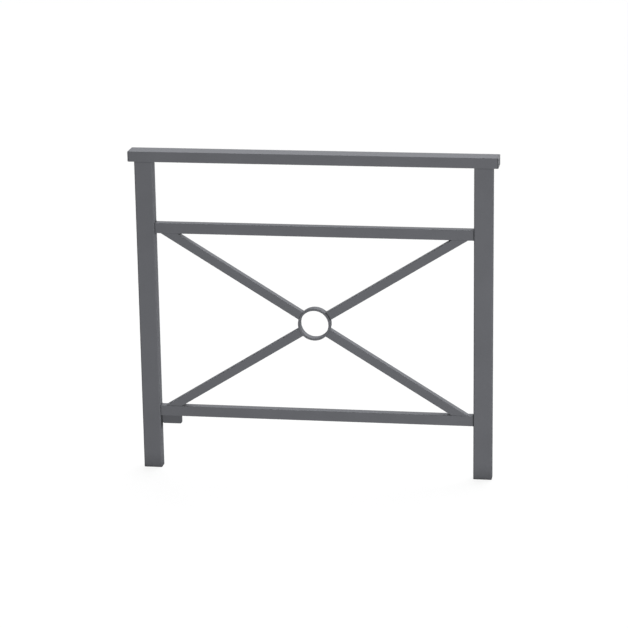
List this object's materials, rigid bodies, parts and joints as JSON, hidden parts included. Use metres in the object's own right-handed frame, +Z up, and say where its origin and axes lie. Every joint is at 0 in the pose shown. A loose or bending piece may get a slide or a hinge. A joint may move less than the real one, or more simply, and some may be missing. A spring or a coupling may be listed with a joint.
{
  "type": "street barrier",
  "caption": "Low street barrier of painted steel tube: posts under a wide handrail, with rails between them and a diagonal cross that meets in a ring.",
  "frame": {"origin": "centre of the left post's foot, at ground level", "axes": "+X along the barrier to the right post, +Y away from the front, +Z up"},
  "size_m": [1.1116, 0.062, 1],
  "materials": {
    "grey_paint": "satin grey powder coat",
    "grey_cap": "matte grey moulded cap"
  },
  "bodies": {
    "root": {"left_post": "grey_paint", "right_post": "grey_paint", "handrail": "grey_paint", "handrail_cap_left": "grey_cap", "handrail_cap_right": "grey_cap", "middle_rail": "grey_paint", "lower_rail": "grey_paint", "arm_upper_left": "grey_paint", "arm_upper_right": "grey_paint", "arm_lower_left": "grey_paint", "arm_lower_right": "grey_paint", "centre_ring": "grey_paint", "fixing_lug": "grey_paint"}
  },
  "joints": []
}
